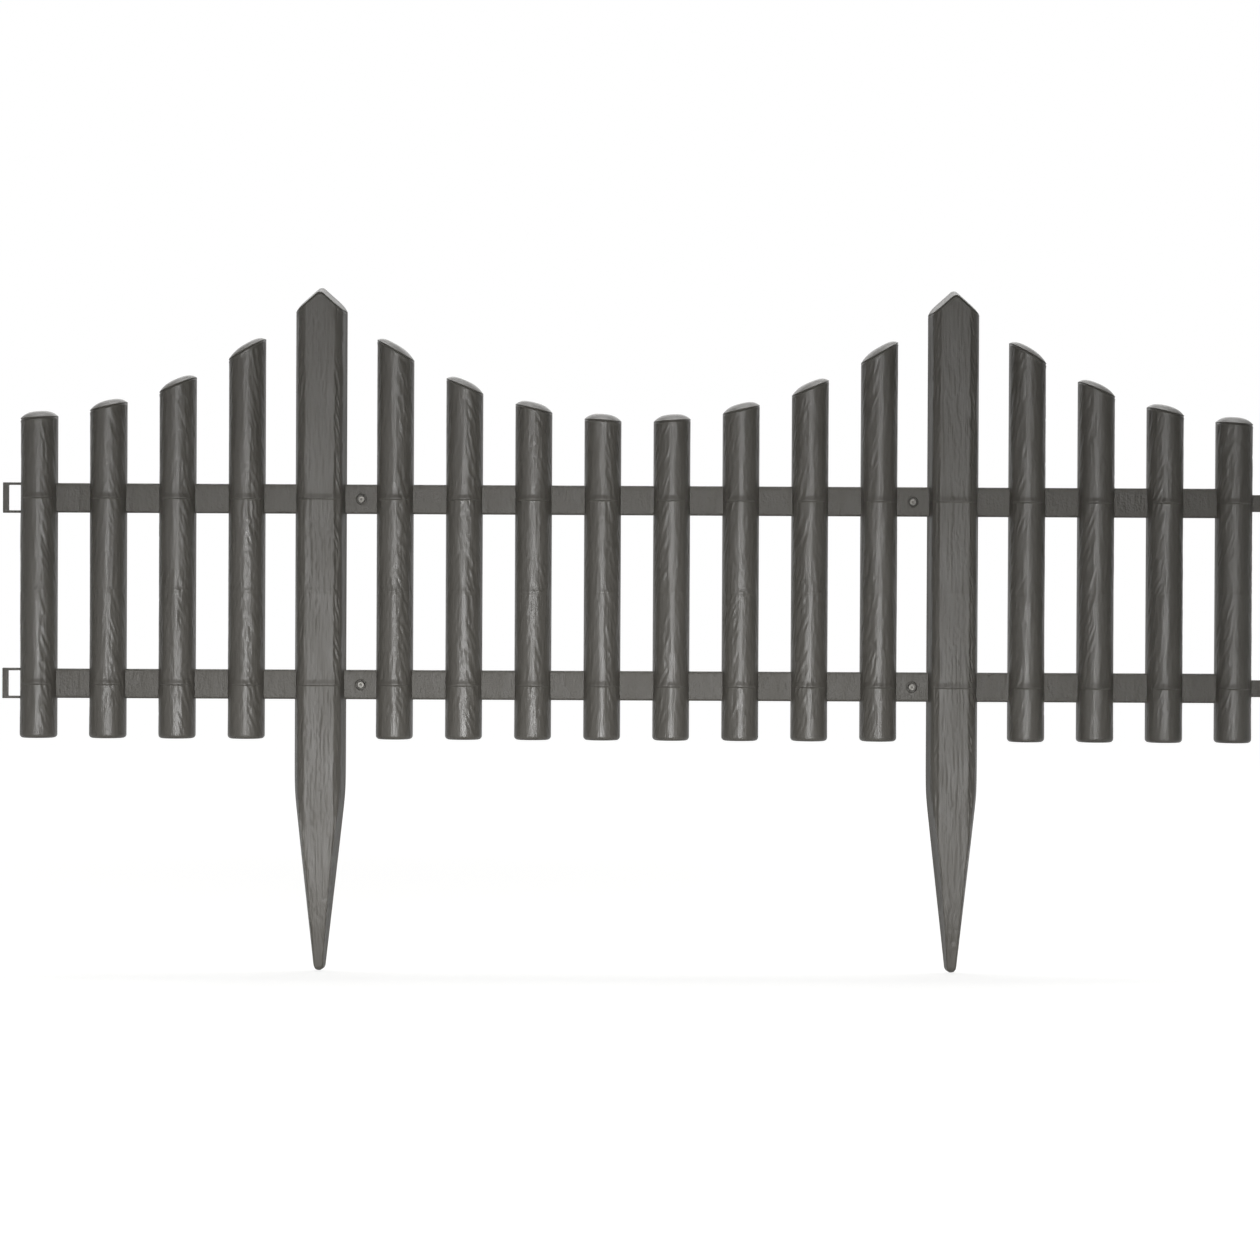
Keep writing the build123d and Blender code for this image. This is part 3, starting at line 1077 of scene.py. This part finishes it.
@dataclass
class Studio:
    """White studio: floor under the spikes, surroundings and soft lamps, with levels in millimetres."""

    floor_level: float = -107.9
    floor_colour: str = "#7a7a78"
    floor_glow: float = 0.8
    floor_reach_m: float = 6.0
    glow_ring_m: Pair = (0.3, 1.2)
    room_shade: float = 0.25
    backdrop_edge: Pair = (0.1, 0.6)
    lamps: tuple[Lamp, ...] = (
        Lamp("low_lamp", (140.0, -1400.0, -60.0), (80.0, 0.0, -200.0), (0.4, 0.08), 2.1, 42.0),
        Lamp("broad_lamp", (147.0, -1800.0, 150.0), (147.0, 0.0, 50.0), (2.0, 1.2), 31.0, 180.0),
        Lamp("left_lamp", (-1200.0, -900.0, 200.0), (147.0, 0.0, 50.0), (0.6, 0.8), 1.0, 120.0),
        Lamp("top_lamp", (120.0, 130.0, 880.0), (120.0, 0.0, 160.0), (2.2, 0.3), 6.0, 90.0),
        Lamp("back_lamp", (147.0, 1300.0, 1100.0), (147.0, 0.0, 50.0), (2.0, 1.0), 14.0, 180.0),
    )

    def build(self) -> None:
        """Make the floor, the surroundings and the lamps."""
        self.floor()
        self.surroundings()
        for lamp in self.lamps:
            lamp.build()

    def floor(self) -> None:
        """Make the floor: white to the eye, grey to the light that falls on it."""
        reach = self.floor_reach_m
        level = self.floor_level * MM
        mesh = bpy.data.meshes.new("floor")
        signs = ((-1, -1), (1, -1), (1, 1), (-1, 1))
        mesh.from_pydata([(x * reach, y * reach, level) for x, y in signs], [], [(0, 1, 2, 3)])
        floor = bpy.data.objects.new("floor", mesh)
        bpy.context.scene.collection.objects.link(floor)
        material = bpy.data.materials.new("pale_floor")
        material.use_nodes = True
        tree = material.node_tree
        tree.nodes.clear()
        paint = add_node(tree, "ShaderNodeBsdfDiffuse", {}, {"Color": linear(self.floor_colour)})
        place = add_node(tree, "ShaderNodeTexCoord", {}, {}).outputs["Object"]
        far = add_node(tree, "ShaderNodeVectorMath", {"operation": "LENGTH"}, {0: place}).outputs["Value"]
        glow = ranged(tree, far, self.glow_ring_m, (self.floor_glow, 1.0))
        strength = math_node(tree, "MULTIPLY", glow, seen_share(tree))
        light = add_node(tree, "ShaderNodeEmission", {}, {"Color": linear(WHITE), "Strength": strength})
        both = add_node(tree, "ShaderNodeAddShader", {}, {0: paint.outputs[0], 1: light.outputs[0]})
        add_node(tree, "ShaderNodeOutputMaterial", {}, {"Surface": both.outputs[0]})
        mesh.materials.append(material)

    def surroundings(self) -> None:
        """Make the surroundings: a white backdrop that reflections show too, and a dim room before it."""
        world = bpy.data.worlds.new("white_studio")
        world.use_nodes = True
        bpy.context.scene.world = world
        tree = world.node_tree
        tree.nodes.clear()
        heading = add_node(tree, "ShaderNodeTexCoord", {}, {}).outputs["Generated"]
        axes = add_node(tree, "ShaderNodeSeparateXYZ", {}, {"Vector": heading})
        room = ranged(tree, axes.outputs["Y"], self.backdrop_edge, (self.room_shade, 1.0))
        strength = seen_share(tree, room)
        light = add_node(tree, "ShaderNodeBackground", {}, {"Color": linear(WHITE), "Strength": strength})
        add_node(tree, "ShaderNodeOutputWorld", {}, {"Surface": light.outputs[0]})


@dataclass
class CameraView:
    """Camera at the photograph's place, fitted to the members, rails, peaks and tips."""

    place_mm: Triple = (133.3, -1602.4, 64.3)
    pitch_deg: float = -0.465
    yaw_deg: float = -0.387
    roll_deg: float = 0.271
    lens_mm: float = 98.16
    sensor_mm: float = 36.0
    clip_m: float = 50.0

    def build(self) -> None:
        """Make the camera and set it as the scene's."""
        data = bpy.data.cameras.new("photo_view")
        data.lens = self.lens_mm
        data.sensor_width = self.sensor_mm
        data.clip_end = self.clip_m
        camera = bpy.data.objects.new("photo_view", data)
        turn = Matrix.Rotation(math.radians(self.yaw_deg), 4, "Z")
        turn = turn @ Matrix.Rotation(math.radians(90 + self.pitch_deg), 4, "X")
        turn = turn @ Matrix.Rotation(math.radians(self.roll_deg), 4, "Z")
        camera.matrix_world = Matrix.Translation(Vector(self.place_mm) * MM) @ turn
        bpy.context.scene.collection.objects.link(camera)
        bpy.context.scene.camera = camera


@dataclass
class FencePanel:
    """The whole panel: members, rails and links, dressed in one plastic."""

    sizes: PanelSizes = SIZES
    picket_seed: int = 1000
    picket_seed_step: int = 7
    stake_seed: int = 500

    def members(self) -> list[Member]:
        """List the uprights from left to right.

        Returns:
            Pickets and stakes, in order along the panel.
        """
        members: list[Member] = []
        left_stake, right_stake = self.sizes.stake_places
        middle = (left_stake + right_stake) / 2
        steps = list(zip(self.sizes.rim_heights, self.sizes.rim_slopes))
        for stake in (left_stake, right_stake):
            for fall in Fall:
                for number, (rim, slope) in enumerate(steps):
                    x = stake + fall.value * (self.sizes.stake_to_picket + number * self.sizes.picket_pitch)
                    seed = int(self.picket_seed + self.picket_seed_step * x)
                    grain = WoodGrain(seed, Flank.RIGHT if x < middle else Flank.LEFT)
                    members.append(Picket("picket", x, grain, rim_height=rim, slope_deg=slope, fall=fall))
        for flank, x in zip(Flank, self.sizes.stake_places):
            grain = WoodGrain(
                int(self.stake_seed + x), Flank.RIGHT,
                stroke_zone=(0.27, 0.6), stroke_mm=0.6, fibre_width_mm=1.0, fibre_mm=0.22, swell_mm=0.22,
            )
            members.append(Stake(f"stake_{flank.name.lower()}", x, grain))
        members.sort(key=lambda member: member.centre)
        pickets = [member for member in members if isinstance(member, Picket)]
        for number, picket in enumerate(pickets, start=1):
            picket.name = f"picket_{number:02d}"
        return members

    def gaps(self, members: Sequence[Member]) -> list[Pair]:
        """Left and right limit of each gap between neighbouring members."""
        sides = []
        for member in members:
            width = self.sizes.stake_width if isinstance(member, Stake) else self.sizes.picket_width
            sides.append((member.centre - width / 2, member.centre + width / 2))
        return [(left[1], right[0]) for left, right in zip(sides, sides[1:])]

    def build(self) -> None:
        """Build and dress every piece."""
        members = self.members()
        gaps = self.gaps(members)
        stakes = [number for number, member in enumerate(members) if isinstance(member, Stake)]
        gate_gaps = [stakes[0], stakes[1] - 1]
        parts: list[Any] = list(members)
        for word, level in zip(("lower", "upper"), self.sizes.rail_levels):
            loop = Loop(f"loop_{word}", level)
            tongue = Tongue(f"tongue_{word}", level, loop)
            parts += [Rail(f"rail_{word}", level, gaps, gate_gaps), loop, tongue]
        satin = MouldedPolypropylene("satin_polypropylene").material()
        eggshell = MouldedPolypropylene(
            "eggshell_polypropylene",
            roughness=(0.46, 0.56), fibre_mm=1.0, fibre_bump_mm=0.22, mottle_bump_mm=0.8,
        ).material()
        matt = MouldedPolypropylene(
            "matt_polypropylene",
            roughness=(0.54, 0.66), mottle_mm=5.0, grit_mm=1.3, grit_bump_mm=0.25, mottle_bump_mm=1.0,
        ).material()
        # Paler copy of the plastic for the gate nubs: a painted highlight, not a colour of the plastic
        # itself.
        painted_nub_highlight = MouldedPolypropylene("painted_nub_highlight_polypropylene", "#76746f", "#66645f").material()
        for part in parts:
            piece = part.build()
            piece.data.materials.append({Picket: satin, Stake: eggshell}.get(type(part), matt))
            # Rails take a second slot for the gate nubs' painted highlight.
            if isinstance(part, Rail):
                piece.data.materials.append(painted_nub_highlight)
            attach(piece, BODY)
            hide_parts(NODE)
            LOG.info("%s: %d faces", piece.name, len(piece.data.polygons))


def main() -> None:
    """Build the panel, the studio and the camera."""
    logging.basicConfig(level=logging.INFO, format="%(message)s")
    FencePanel().build()
    Studio().build()
    CameraView().build()
    bpy.context.scene.view_settings.view_transform = "Standard"
    bpy.context.view_layer.update()


if __name__ == "__main__":
    main()
